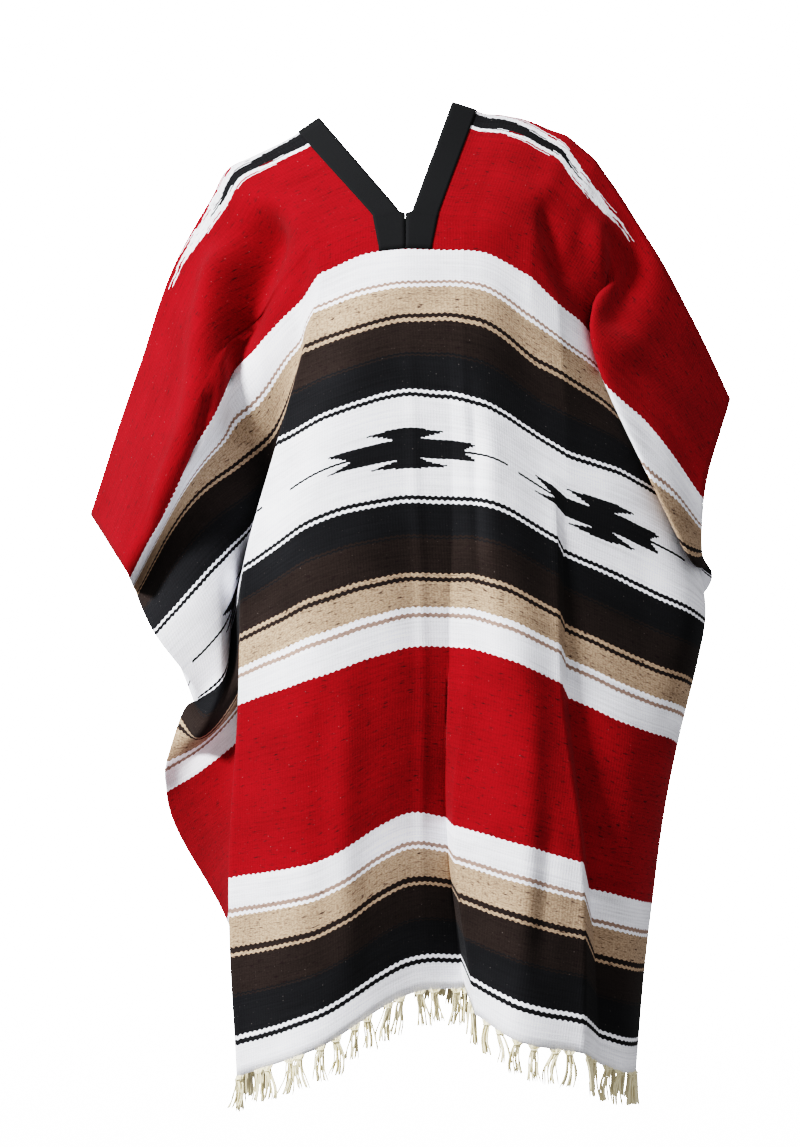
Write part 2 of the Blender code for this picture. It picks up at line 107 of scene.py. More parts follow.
RIGHT_LINES = (
    FoldLine("valley", 2, 4,
             (91, 43, 45, 48, 51, 50, 48, 47, 44, 66),
             (-14, -126, -142, -154, -157, -152, -150, -146, -117, -96),
             (1, -162, -237, -327, -445, -532, -570, -616, -812, -1011)),
    FoldLine("step", 3, 4,
             (109, 63, 63, 63, 68, 71, 72, 71, 52, 78),
             (-14, -125, -142, -156, -162, -161, -160, -158, -140, -146),
             (0, -162, -239, -330, -446, -532, -572, -618, -820, -1038)),
    FoldLine("ridge", 3, 0,
             (131, 85, 83, 79, 85, 106, 117, 127, 128, 123),
             (-14, -122, -140, -155, -168, -174, -176, -176, -170, -170),
             (-4, -164, -243, -334, -448, -542, -586, -636, -841, -1066)),
    FoldLine("crease", 2, 6,
             (186, 140, 148, 158, 170, 172, 173, 175, 200, 202),
             (-12, -110, -122, -132, -146, -152, -154, -155, -150, -150),
             (-25, -191, -288, -380, -491, -575, -613, -659, -863, -1083)),
    FoldLine("shelf", 3, 6,
             (217, 172, 178, 183, 178, 179, 180, 183, 207, 221),
             (-10, -98, -114, -126, -138, -140, -140, -138, -118, -115),
             (-51, -222, -303, -394, -506, -590, -628, -675, -894, -1097)),
    FoldLine("side", 3, 0,
             (244, 205, 230, 255, 267, 266, 263, 261, 255, 246),
             (-8, -72, -84, -95, -105, -110, -112, -112, -95, -98),
             (-88, -246, -338, -420, -545, -629, -666, -710, -907, -1107)),
    FoldLine("tuck", 3, 0,
             (267, 228, 288, 320, 332, 320, 312, 303, 279, 262),
             (-4, -46, -42, -38, -70, -77, -76, -75, -55, -60),
             (-124, -276, -414, -474, -577, -650, -684, -724, -913, -1109)),
    FoldLine("wing_edge", 3, 0,
             (293, 225, 322, 334, 344, 330, 321, 311, 282, 262),
             (0, -90, -90, -26, -45, -40, -35, -30, -15, -20),
             (-165, -308, -504, -516, -586, -657, -692, -734, -916, -1108)),
    FoldLine("wing", 3, 0,
             (329, 278, 332, 342, 334, 317, 307, 298, 272, 252),
             (14, -75, -76, -14, 0, 8, 12, 15, 25, 20),
             (-231, -362, -507, -526, -588, -659, -695, -738, -920, -1106)),
    FoldLine("selvage", 0, 0,
             (377, 343, 340, 355, 325, 304, 295, 285, 258, 236),
             (30, -45, -56, 4, 35, 49, 54, 58, 60, 55),
             (-329, -448, -508, -536, -590, -661, -699, -742, -925, -1102)),
)
CORNER_AT_SHOULDER = 60.0
LONGEST_CORNER = 0.35
BackSection = namedtuple("BackSection", "middle left right fold")
BACK_SECTIONS = (
    BackSection((20, 132, -998), (-186, 96, -1078), (242, 96, -1080), 1.0),
    BackSection((14, 134, -793), (-190, 96, -944), (254, 98, -920), 0.9),
    BackSection((8, 134, -600), (-230, 76, -812), (284, 92, -764), 0.7),
    BackSection((2, 132, -432), (-246, 58, -700), (314, 70, -634), 0.45),
    BackSection((-2, 126, -316), (-276, 76, -622), (330, 78, -548), 0.25),
    BackSection((-4, 118, -224), (-296, 60, -566), (336, 60, -486), 0.12),
    BackSection((-6, 106, -146), (-312, 86, -520), (338, 84, -436), 0.05),
)
BackFold = namedtuple("BackFold", "at width depth")
BACK_FOLDS = (
    BackFold(-0.84, 0.070, 44),
    BackFold(-0.57, 0.075, 60),
    BackFold(-0.27, 0.080, 52),
    BackFold(0.05, 0.075, 62),
    BackFold(0.34, 0.080, 54),
    BackFold(0.62, 0.070, 58),
    BackFold(0.87, 0.060, 40),
)
FOLD_VALLEY = 16.0
SIDE_CROWDING = 0.25
ARM_SLOPE = 1.55
BACK_ROUNDNESS = 2.5
SLIT_PULL = 0.3
BACK_ROWS, V_ROWS, FRONT_ROWS = 66, 19, 73


def smooth_curve(at, values, wanted):
    """Values at the wanted places on the cubic curve through (at, values)."""
    at, values = np.asarray(at, float), np.asarray(values, float)
    wanted = np.atleast_1d(np.asarray(wanted, float))
    gaps = np.diff(at)
    rises = np.diff(values, axis=0) / gaps[:, None]
    share = (gaps[:-1] / (gaps[:-1] + gaps[1:]))[:, None]
    slopes = np.vstack([rises[:1], rises[:-1] * (1 - share) + rises[1:] * share, rises[-1:]])
    i = np.clip(np.searchsorted(at, wanted, side="right") - 1, 0, len(gaps) - 1)
    u = ((wanted - at[i]) / gaps[i])[:, None]
    gap = gaps[i][:, None]
    return ((1 + 2 * u) * (1 - u) ** 2 * values[i] + u * (1 - u) ** 2 * gap * slopes[i]
            + u ** 2 * (3 - 2 * u) * values[i + 1] - u ** 2 * (1 - u) * gap * slopes[i + 1])


def lengths_along(points):
    return np.concatenate([[0.0], np.cumsum(np.linalg.norm(np.diff(points, axis=0), axis=1))])


def line_points(lines, down):
    return [smooth_curve(SECTION_DOWN, list(zip(f.across, f.depth, f.height)), down)[0]
            for f in lines]


def centre_point(down):
    points = [V_FRONT] + list(zip(CENTRE_LINE.across, CENTRE_LINE.depth, CENTRE_LINE.height))[1:]
    return smooth_curve((OPEN_FRONT,) + SECTION_DOWN[1:], points, down)[0]


def closed_share(past):
    """How far the slit has closed at a distance past the V, so that the V's bottom is round."""
    return 1 - (1 - min(past / V_CLOSES, 1.0) ** 2) ** 0.5


def slit_edge(down, opens, peak, bottom, low, side):
    """A point of the slit's edge: straight down the V to its round bottom, then close beside the middle."""
    past = max(down - opens, 0.0)
    half_gap = V_HALF_BOTTOM + (SLIT_HALF_GAP - V_HALF_BOTTOM) * closed_share(past)
    end = np.array(low if past else bottom) + (side * half_gap, 0, 0)
    return end if past else np.array(peak) + (end - np.array(peak)) * down / opens


def cornered(points, corners, down):
    """A chain with two more points close to each sharp corner, so that only the cloth between them bends, and
    where the first points are in it."""
    chain, marks = [], []
    rounder = max(1 - down / SECTION_DOWN[1], 0.0)
    for k, (point, corner) in enumerate(zip(points, corners)):
        inner = corner and 0 < k < len(points) - 1
        gaps = [np.array(points[k + d]) - point for d in (-1, 1)] if inner else []
        reach = corner + (CORNER_AT_SHOULDER - corner) * rounder
        shares = [min(reach / np.linalg.norm(gap), LONGEST_CORNER) for gap in gaps]
        chain += [point + gap * share for gap, share in zip(gaps[:1], shares)] + [point]
        marks.append(len(chain) - 1)
        chain += [point + gap * share for gap, share in zip(gaps[1:], shares[1:])]
    return np.array(chain), marks


def spread_along(along, faces, middle, band):
    """Places along a chain: even between its points, but first a band's width out of the cloth's middle."""
    places = []
    for k, (a, b, n) in enumerate(zip(along[:-1], along[1:], faces)):
        if k == middle:
            places += list(np.linspace(a, a + band, BAND_FACES * FINER + 1))[:-1]
            a += band
        if k == middle - 1:
            places += list(np.linspace(a, b - band, n * FINER + 1))[:-1]
            places += list(np.linspace(b - band, b, BAND_FACES * FINER + 1))[:-1]
        else:
            places += list(np.linspace(a, b, n * FINER + 1))[:-1]
    return places + [along[-1]]


LEFT_FACES = [f.faces for f in LEFT_LINES]
RIGHT_FACES = [CENTRE_LINE.faces] + [f.faces for f in RIGHT_LINES[:-1]]
LEFT_CORNERS, RIGHT_CORNERS = [f.corner for f in LEFT_LINES], [f.corner for f in RIGHT_LINES]
MIDDLE_COLUMN = (sum(LEFT_FACES) + BAND_FACES) * FINER


def row_through(points, corners, faces, middle, down):
    """A row's points, on the curve through its fold lines."""
    chain, marks = cornered(points, corners, down)
    along = lengths_along(chain)
    past = max(down - OPEN_FRONT, 0.0)
    closing = closed_share(past) * max(1 - past / BAND_EVENS, 0.0)
    band = BAND_WIDTH + (V_HALF_BOTTOM - SLIT_HALF_GAP) * closing
    return smooth_curve(along, chain, spread_along(along[marks], faces, middle, band))


def front_row(down):
    """The left and right half of a row of the front, each as points."""
    left, right = line_points(LEFT_LINES, down), line_points(RIGHT_LINES, down)
    centre = centre_point(down)
    if down < SLIT_END_FRONT:
        edges = [slit_edge(down, OPEN_FRONT, peak, V_FRONT, centre, side)
                 for side, peak in ((-1, PEAK_LEFT), (1, PEAK_RIGHT))]
        return (row_through(left + edges[:1], LEFT_CORNERS + [0], LEFT_FACES, len(LEFT_FACES), down),
                row_through(edges[1:] + right, [0] + RIGHT_CORNERS, RIGHT_FACES, 0, down))
    row = row_through(left + [centre] + right, LEFT_CORNERS + [0] + RIGHT_CORNERS,
                      LEFT_FACES + RIGHT_FACES, len(LEFT_FACES), down)
    return row[:MIDDLE_COLUMN + 1], row[MIDDLE_COLUMN:]


def back_points(section, share):
    """Points of the back on a section; share runs from -1 at the left selvage to 1 at the right one."""
    out = np.abs(share)[:, None]
    side = np.where((share < 0)[:, None], section.left, section.right)
    middle = np.array(section.middle, float)
    points = np.empty((len(share), 3))
    spread = (1 + SIDE_CROWDING) * out - SIDE_CROWDING * out ** 2
    points[:, 0] = (middle + (side - middle) * spread)[:, 0]
    points[:, 1] = (side + (middle - side) * (1 - out ** BACK_ROUNDNESS))[:, 1]
    points[:, 2] = (middle + (side - middle) * out ** ARM_SLOPE)[:, 2]
    ridges = sum(f.depth * np.exp(-((share - f.at) / f.width) ** 2) for f in BACK_FOLDS)
    points[:, 1] += section.fold * (ridges - FOLD_VALLEY)
    return points


def back_half(downs, side, peak):
    """All rows of one half of the back, each from the slit's edge to the selvage."""
    top, chest = (front_row(d)[0 if side < 0 else 1] for d in (0.0, SECTION_DOWN[1]))
    if side < 0:
        top, chest = top[::-1], chest[::-1]
    shares = lengths_along(top) / lengths_along(top)[-1]
    at = [-d for d in BACK_DOWN[:0:-1]] + [0.0, SECTION_DOWN[1]]
    knots = np.array([back_points(section, side * shares) for section in BACK_SECTIONS] + [top, chest])
    rows = smooth_curve(at, knots.reshape(len(at), -1), downs).reshape(len(downs), len(shares), 3)
    pull = (np.clip(1 - shares / SLIT_PULL, 0, 1) ** 2)[:, None]
    closed = smooth_curve(at, knots[:, 0], -SLIT_END_BACK)[0]
    for row, down in zip(rows, downs):
        if -down < SLIT_END_BACK:
            past = max((-down - OPEN_BACK) / (SLIT_END_BACK - OPEN_BACK), 0.0)
            low = np.array(V_BACK) + (closed - V_BACK) * past
            row += (slit_edge(-down, OPEN_BACK, peak, V_BACK, low, side) - row[0]) * pull
    return rows


def slit_downs(opens, ends):
    """Rows beside the slit, from its end to the shoulder line, with a few close ones where its V closes."""
    return np.concatenate([[ends, ends - 1], np.linspace(ends - 7, opens + V_CLOSES, 4),
                           [opens + V_CLOSES / 2], np.linspace(opens, 0, V_ROWS)])


downs = np.concatenate([-np.linspace(SHOULDER_TO_HEM, SLIT_END_BACK, BACK_ROWS),
                        -slit_downs(OPEN_BACK, SLIT_END_BACK)[1:],
                        slit_downs(OPEN_FRONT, SLIT_END_FRONT)[-2::-1],
                        np.linspace(SLIT_END_FRONT, SHOULDER_TO_HEM, FRONT_ROWS)[1:]])
back_downs, front_downs = downs[downs < 0], downs[downs >= 0]
front_rows = [front_row(d) for d in front_downs]
left = np.concatenate([back_half(back_downs, -1, PEAK_LEFT)[:, ::-1],
                       np.array([row[0] for row in front_rows])])
right = np.concatenate([back_half(back_downs, 1, PEAK_RIGHT), np.array([row[1] for row in front_rows])])
parted = (downs > -SLIT_END_BACK) & (downs < SLIT_END_FRONT)
shared = (left[~parted, -1] + right[~parted, 0]) / 2
left[~parted, -1] = right[~parted, 0] = shared

# Cloth, creases. The cloth hangs in soft troughs and ridges between its folds. Each row of the table is one,
# laid from one place to another, in millimetres across from the middle and down from the shoulder
# line. Depth is outwards, and a crease moves the cloth along its normal but mostly level.
CREASE_LIFT = 0.3
CREASE_FADE = 0.3
CREASE_WANDER = 0.18
RIPPLE = 0.6
Crease = namedtuple("Crease", "across down across_end down_end width depth")
CREASES = (
    Crease(0, 205, 0, 1040, 7, 1.6),
    Crease(-165, 50, -315, 142, 24, 24.0),
    Crease(-265, 115, -510, 178, 24, 13.0),
    Crease(-118, 140, -185, 270, 20, -8.0),
    Crease(-100, 62, -278, 186, 27, -44.0),
    Crease(-215, 145, -300, 250, 24, -16.0),
    Crease(-96, 600, -104, 1060, 20, 5.0),
    Crease(136, 640, 172, 1060, 14, 4.0),
    Crease(68, 330, 74, 600, 7, -3.5),
    Crease(84, 330, 96, 700, 12, 3.0),
    Crease(-60, 420, -30, 760, 30, 3.0),
    Crease(-130, 70, -205, 230, 22, -4.0),
    Crease(-95, 70, -60, 180, 24, 4.0),
    Crease(121, 92, 222, 168, 18, -9.0),
    Crease(172, 150, 285, 190, 14, -4.0),
    Crease(200, 50, 285, 160, 20, 11.0),
    Crease(268, 10, 350, 140, 24, -14.0),
    Crease(120, 60, 100, 180, 28, 4.0),
    Crease(-250, 40, -360, 170, 24, 5.0),
    Crease(-300, 150, -420, 215, 12, -5.0),
    Crease(300, 60, 380, 170, 26, 5.0),
    Crease(-120, 620, -130, 1000, 20, -3.0),
    Crease(180, 780, 176, 1000, 14, -4.0),
    Crease(-150, -60, -190, -240, 26, -7.0),
    Crease(170, -60, 205, -240, 24, -7.0),
    Crease(-40, -260, -50, -520, 22, 3.0),
    Crease(60, -300, 66, -620, 18, -4.0),
    Crease(-260, -40, -340, -170, 26, 5.0),
    Crease(290, -40, 370, -170, 26, 5.0),
)


def outward(grid):
    """Unit normals of a grid of points, out of the garment."""
    normals = np.cross(np.gradient(grid, axis=0), np.gradient(grid, axis=1))
    return normals / np.linalg.norm(normals, axis=2)[:, :, None]


def across_cloth(grid, from_left):
    """Distance of each point of a half from the middle of the cloth, negative on the left half."""
    chain = grid[:, ::-1] if from_left else grid
    steps = np.linalg.norm(np.diff(chain, axis=1), axis=2)
    along = np.concatenate([np.zeros((len(grid), 1)), np.cumsum(steps, axis=1)], axis=1)
    return -along[:, ::-1] if from_left else along


def crease_depth(across, down):
    """How far the creases, and a slight ripple all over, move a point of the cloth outwards."""
    depth = RIPPLE * np.sin(across / 31 + down / 83) * np.sin(down / 57 - across / 113)
    for c in CREASES:
        direction = np.array([c.across_end - c.across, c.down_end - c.down], float)
        length = np.linalg.norm(direction)
        direction /= length
        along = (across - c.across) * direction[0] + (down - c.down) * direction[1]
        aside = (across - c.across) * direction[1] - (down - c.down) * direction[0]
        aside = aside + CREASE_WANDER * c.width * np.sin(along / 47 + c.down)
        fade_length = CREASE_FADE * length
        fade = np.clip(along / fade_length, 0, 1) * np.clip((length - along) / fade_length, 0, 1)
        depth += c.depth * np.exp(-(aside / c.width) ** 2) * fade * fade * (3 - 2 * fade)
    return depth


halves = []
for grid, from_left in ((left, True), (right, False)):
    across = across_cloth(grid, from_left)
    down = np.repeat(downs[:, None], grid.shape[1], axis=1)
    grid += outward(grid) * (1.0, 1.0, CREASE_LIFT) * crease_depth(across, down)[:, :, None]
    halves.append((across, down))
shared = (left[~parted, -1] + right[~parted, 0]) / 2
left[~parted, -1] = right[~parted, 0] = shared
left_out, right_out = outward(left), outward(right)
joined = left_out[~parted, -1] + right_out[~parted, 0]
left_out[~parted, -1] = right_out[~parted, 0] = joined / np.linalg.norm(joined, axis=1)[:, None]

# Cloth, colours. The weft is dyed yarn, laid in stripes at set distances from the shoulder line. So are the
# rows of the two woven figures, whose charts say how far each row's coloured yarn reaches to left and right.
RED = (0.285, 0.0088, 0.0150)
WHITE = (0.90, 0.91, 0.96)
TAN = (0.46, 0.345, 0.255)
BROWN = (0.034, 0.026, 0.0235)
BLACK = (0.0190, 0.0195, 0.0215)
TAUPE = (0.36, 0.26, 0.22)
Stripe = namedtuple("Stripe", "down colour heather")
CHEST_STRIPES = (
    Stripe(180, RED, 0.4),
    Stripe(190, WHITE, 0.05),
    Stripe(226.4, TAUPE, 0.3),
    Stripe(229.6, WHITE, 0.05),
    Stripe(233.6, TAN, 1.0),
    Stripe(265.8, BROWN, 0.2),
    Stripe(270.2, TAN, 1.0),
    Stripe(274.6, BROWN, 0.4),
    Stripe(313.5, BLACK, 0.1),
    Stripe(315.5, BROWN, 0.4),
    Stripe(317.5, BLACK, 0.1),
    Stripe(358.4, WHITE, 0.05),
    Stripe(362.6, BLACK, 0.1),
    Stripe(367.2, WHITE, 0.05),
)
WAIST_STRIPES = (
    Stripe(470, WHITE, 0.05),
    Stripe(478.8, BLACK, 0.1),
    Stripe(483.4, WHITE, 0.05),
    Stripe(487.6, BLACK, 0.1),
    Stripe(523.5, BROWN, 0.4),
    Stripe(525.5, BLACK, 0.1),
    Stripe(527.5, BROWN, 0.4),
    Stripe(567.5, TAN, 1.0),
    Stripe(572.0, BROWN, 0.2),
    Stripe(576.7, TAN, 1.0),
    Stripe(606.2, WHITE, 0.05),
    Stripe(613.0, TAUPE, 0.3),
    Stripe(618.0, WHITE, 0.05),
    Stripe(652.0, RED, 0.4),
)
HEM_STRIPES = (
    Stripe(845, RED, 0.4),
    Stripe(850, WHITE, 0.05),
    Stripe(884.5, TAUPE, 0.3),
    Stripe(889.3, WHITE, 0.05),
    Stripe(893.2, TAN, 1.0),
    Stripe(927.0, BROWN, 0.2),
    Stripe(933.0, TAN, 1.0),
    Stripe(937.0, BROWN, 0.4),
    Stripe(976.5, BLACK, 0.1),
    Stripe(978.0, BROWN, 0.4),
    Stripe(979.5, BLACK, 0.1),
    Stripe(1021.5, WHITE, 0.05),
    Stripe(1026.0, BLACK, 0.1),
    Stripe(1031.0, WHITE, 0.05),
)
STRIPES_LENGTH = 200.0
WeftRow = namedtuple("WeftRow", "down left right")
FIGURE_REACH = 165.0
FIGURE_HEIGHT = 52.0
FIGURE_MIDDLE = 424.0
FIGURE_LEFT, FIGURE_RIGHT = -310.0, 252.0
FIGURE_ROWS = (
    WeftRow(-21.0, 0, 0),
    WeftRow(-20.4, 34, 14),
    WeftRow(-19.2, 55, 34),
    WeftRow(-17.5, 48, 30),
    WeftRow(-15.8, 42, 24),
    WeftRow(-14.0, 36, 18),
    WeftRow(-12.0, 31, 13),
    WeftRow(-10.2, 26, 8),
    WeftRow(-9.0, 25, 66),
    WeftRow(-7.6, 101, 71),
    WeftRow(-6.0, 98, 68),
    WeftRow(-4.2, 93, 64),
    WeftRow(-2.4, 88, 61),
    WeftRow(-0.6, 85, 59),
    WeftRow(1.6, 80, 111),
    WeftRow(3.2, 160, 111),
    WeftRow(3.9, 160, 60),
    WeftRow(5.6, 75, 63),
    WeftRow(7.4, 78, 66),
    WeftRow(9.2, 84, 70),
    WeftRow(11.0, 91, 70),
    WeftRow(12.6, 97, 7),
    WeftRow(13.4, 102, 10),
    WeftRow(14.8, 20, 14),
    WeftRow(16.4, 27, 21),
    WeftRow(18.0, 35, 30),
    WeftRow(19.4, 42, 38),
    WeftRow(20.8, 50, 34),
    WeftRow(22.4, 36, 16),
    WeftRow(23.6, 22, 8),
    WeftRow(25.0, 0, 0),
)
ShoulderRow = namedtuple("ShoulderRow", "down black white again again_end")
SHOULDER_REACH = 330.0
SHOULDER_HEIGHT = 30.0
SHOULDER_ROWS = (
    ShoulderRow(-15.0, 0, 0, 0, 0),
    ShoulderRow(-13.6, 0, 0, 58, 148),
    ShoulderRow(-12.6, 0, 0, 0, 0),
    ShoulderRow(-11.8, 0, 118, 130, 168),
    ShoulderRow(-10.2, 0, 172, 0, 0),
    ShoulderRow(-8.6, 44, 186, 200, 236),
    ShoulderRow(-7.4, 80, 206, 0, 0),
    ShoulderRow(-6.2, 118, 170, 186, 214),
    ShoulderRow(-5.0, 96, 222, 0, 0),
    ShoulderRow(-4.0, 146, 252, 0, 0),
    ShoulderRow(-2.4, 168, 276, 0, 0),
    ShoulderRow(-1.0, 152, 240, 248, 262),
    ShoulderRow(0.2, 176, 232, 0, 0),
    ShoulderRow(1.8, 158, 244, 252, 266),
    ShoulderRow(3.2, 130, 270, 0, 0),
    ShoulderRow(4.6, 138, 238, 0, 0),
    ShoulderRow(5.8, 60, 74, 92, 222),
    ShoulderRow(6.8, 88, 182, 190, 222),
    ShoulderRow(7.8, 0, 162, 178, 206),
    ShoulderRow(9.2, 0, 184, 0, 0),
    ShoulderRow(10.6, 0, 96, 150, 192),
    ShoulderRow(11.6, 0, 64, 0, 0),
    ShoulderRow(12.4, 0, 0, 74, 128),
    ShoulderRow(13.4, 0, 0, 0, 0),
)
ShoulderCourse = namedtuple("ShoulderCourse", "across down")
COURSE_REACH = 360.0
COURSE_DEPTH = 50.0
SHOULDER_COURSE = (
    ShoulderCourse(-360, 9),
    ShoulderCourse(-225, 9),
    ShoulderCourse(-150, 17),
    ShoulderCourse(-90, 10),
    ShoulderCourse(0, 12),
    ShoulderCourse(70, 13),
    ShoulderCourse(120, 19),
    ShoulderCourse(165, 32),
    ShoulderCourse(205, 38),
    ShoulderCourse(250, 30),
    ShoulderCourse(330, 14),
)


class Nodes:
    """Short ways to add and join shader nodes in one tree."""

    def __init__(self, tree):
        self.tree = tree

    def add(self, kind, inputs=(), **settings):
        node = self.tree.nodes.new(kind)
        for name, value in settings.items():
            setattr(node, name, value)
        for name, value in dict(inputs).items():
            self.put(node.inputs[name], value)
        return node

    def put(self, socket, value):
        if isinstance(value, bpy.types.NodeSocket):
            self.tree.links.new(value, socket)
        else:
            socket.default_value = value

    def math(self, operation, a, b=0.0, c=0.0):
        node = self.add("ShaderNodeMath", operation=operation)
        for socket, value in zip(node.inputs, (a, b, c)):
            self.put(socket, value)
        return node.outputs[0]

    def mix(self, share, a, b, blend="MIX"):
        node = self.add("ShaderNodeMix", data_type="RGBA", blend_type=blend, clamp_factor=True)
        self.put(node.inputs[0], share)
        self.put(node.inputs[6], (*a, 1.0) if isinstance(a, tuple) else a)
        self.put(node.inputs[7], (*b, 1.0) if isinstance(b, tuple) else b)
        return node.outputs[2]

    def steps(self, at, places, colours):
        """Colour and alpha of a ramp that holds each colour from its place to the next."""
        node = self.add("ShaderNodeValToRGB", {"Fac": at})
        ramp = node.color_ramp
        ramp.interpolation = "CONSTANT"
        while len(ramp.elements) > 1:
            ramp.elements.remove(ramp.elements[-1])
        ramp.elements[0].position = places[0]
        for place in places[1:]:
            ramp.elements.new(place)
        for element, colour in zip(ramp.elements, colours):
            element.color = colour
        return node.outputs["Color"], node.outputs["Alpha"]

    def scaled(self, value, middle, size):
        """How far a value is above its middle, times a size."""
        return self.math("MULTIPLY", self.math("SUBTRACT", value, middle), size)

    def noise(self, s, t, s_scale, t_scale, detail):
        """Noise with one scale along the weft, s, and another along the warp, t, both a metre of cloth."""
        place = self.add("ShaderNodeCombineXYZ", {"X": self.math("MULTIPLY", s, s_scale),
                                                  "Y": self.math("MULTIPLY", t, t_scale)})
        node = self.add("ShaderNodeTexNoise", {"Vector": place.outputs[0], "Scale": 1.0, "Detail": detail},
                        noise_dimensions="2D")
        return node.outputs["Fac"]


def new_material(name, roughness):
    """A new material, short ways to add to its tree, and its Principled shader."""
    material = bpy.data.materials.new(name)
    material.use_nodes = True
    shader = material.node_tree.nodes["Principled BSDF"]
    shader.inputs["Roughness"].default_value = roughness
    return material, Nodes(material.node_tree), shader


def make_group(name, inputs, outputs):
    """A new shader group, short ways to add to it, its input node and its output node."""
    tree = bpy.data.node_groups.new(name, "ShaderNodeTree")
    for each in inputs:
        tree.interface.new_socket(name=each, in_out="INPUT", socket_type="NodeSocketFloat")
    for each, kind in outputs:
        tree.interface.new_socket(name=each, in_out="OUTPUT", socket_type=kind)
    nodes = Nodes(tree)
    return tree, nodes, nodes.add("NodeGroupInput"), nodes.add("NodeGroupOutput")


# The yarn group is shared by the cloth and the bands. It gives the weave's height, its shade, dark and pale
# flecks, and the teeth that the warp gives to a colour's edge, all from a place on the cloth in metres. The
# shades say how much the weft's rows, the nap and soft patches lighten or darken the yarn, and how much
# painted shade darkens the hollows between the warp's ribs.
WARP_PITCH = 0.0034
WEFT_PITCH = 0.0021
TOOTH_HEIGHT = 0.0025
ROW_SHADE, NAP_SHADE, PATCH_SHADE, WARP_RIB_PAINTED_SHADE = 0.40, 0.55, 0.45, 0.10
yarn, n, given, result = make_group("yarn", ("s", "t"), (
    ("height", "NodeSocketFloat"), ("shade", "NodeSocketFloat"), ("dark_fleck", "NodeSocketFloat"),
    ("pale_fleck", "NodeSocketFloat"), ("heather", "NodeSocketFloat"), ("teeth", "NodeSocketFloat")))
s, t = given.outputs["s"], given.outputs["t"]
warp_wave = n.math("DIVIDE", n.math("PINGPONG", s, WARP_PITCH / 2), WARP_PITCH / 2)
row_noise = n.noise(s, t, 9.0, 430.0, 2.0)
soft_noise = n.noise(s, t, 14.0, 22.0, 3.0)
weft_wave = n.math("SINE", n.math("MULTIPLY", t, 2 * np.pi / WEFT_PITCH))
rib = n.math("MULTIPLY", n.math("ADD", n.math("MULTIPLY", weft_wave, 0.25), 0.75), warp_wave)
nap = n.noise(s, t, 900.0, 1300.0, 3.0)
height = n.math("ADD", n.math("MULTIPLY", rib, 0.4), n.math("MULTIPLY", nap, 0.9))
n.put(result.inputs["height"], n.math("ADD", height, n.math("MULTIPLY", row_noise, 0.5)))
shade = n.math("ADD", n.scaled(row_noise, 0.5, ROW_SHADE), n.scaled(nap, 0.5, NAP_SHADE))
shade = n.math("ADD", shade, n.scaled(soft_noise, 0.5, PATCH_SHADE))
# Painted shade: the yarn is darker in the hollows between the warp's ribs and lighter on their tops, in step
# with the ribs' bump.
shade = n.math("ADD", shade, n.scaled(warp_wave, 0.6, WARP_RIB_PAINTED_SHADE))
n.put(result.inputs["shade"], n.math("ADD", shade, 1.0))
fleck_noise = n.noise(s, t, 95.0, 420.0, 1.0)
n.put(result.inputs["dark_fleck"], n.scaled(fleck_noise, 0.63, 9.0))
n.put(result.inputs["pale_fleck"], n.scaled(n.noise(s, t, 330.0, 420.0, 0.0), 0.86, 16.0))
n.put(result.inputs["heather"], n.scaled(n.noise(s, t, 300.0, 720.0, 2.0), 0.42, 4.0))
tooth = n.scaled(n.math("DIVIDE", n.math("PINGPONG", s, WARP_PITCH), WARP_PITCH), 0.5, 1.8)
tooth = n.math("MINIMUM", n.math("MAXIMUM", tooth, -0.5), 0.5)
n.put(result.inputs["teeth"], n.math("MULTIPLY", tooth, n.math("MULTIPLY", fleck_noise, TOOTH_HEIGHT)))

# The cloth's own material lays the stripes, then the shoulder figure, then the figures on the white bands.
# Stripe edges wander a little, and have the warp's teeth. Heather and flecks are other fibres in the yarn.
EDGE_WANDER = 0.0034
SHOULDER_WANDER = 0.006
FIGURE_TEETH = 0.35
HEATHER, DARK_FLECKS, PALE_FLECKS = 0.55, 0.5, 0.08
cloth_material, n, shader = new_material("handwoven_cloth", 0.92)
place = n.add("ShaderNodeSeparateXYZ", {"Vector": n.add("ShaderNodeUVMap", uv_map="on_cloth").outputs[0]})
s, t = place.outputs["X"], place.outputs["Y"]
weave = n.add("ShaderNodeGroup", {"s": s, "t": t}, node_tree=yarn)
even_down = n.math("ADD", n.math("ABSOLUTE", t), n.scaled(n.noise(s, t, 16.0, 3.0, 1.0), 0.5, EDGE_WANDER))
down = n.math("ADD", even_down, weave.outputs["teeth"])
small_teeth = n.math("MULTIPLY", weave.outputs["teeth"], FIGURE_TEETH)


def stripe_ramp(stripes):
    """Colour and heather of one group of stripes. Cloth before or past it has its first or last ones."""
    start = stripes[0].down
    at = n.math("DIVIDE", n.math("SUBTRACT", down, start * MM), STRIPES_LENGTH * MM)
    return n.steps(at, [(x.down - start) / STRIPES_LENGTH for x in stripes],
                   [(*x.colour, x.heather) for x in stripes])


colour, heathered = stripe_ramp(CHEST_STRIPES)
for stripes in (WAIST_STRIPES, HEM_STRIPES):
    past = n.math("GREATER_THAN", down, stripes[0].down * MM)
    more, more_heathered = stripe_ramp(stripes)
    colour = n.mix(past, colour, more)
    heathered = n.add("ShaderNodeMix", {0: past, 2: heathered, 3: more_heathered}).outputs[0]

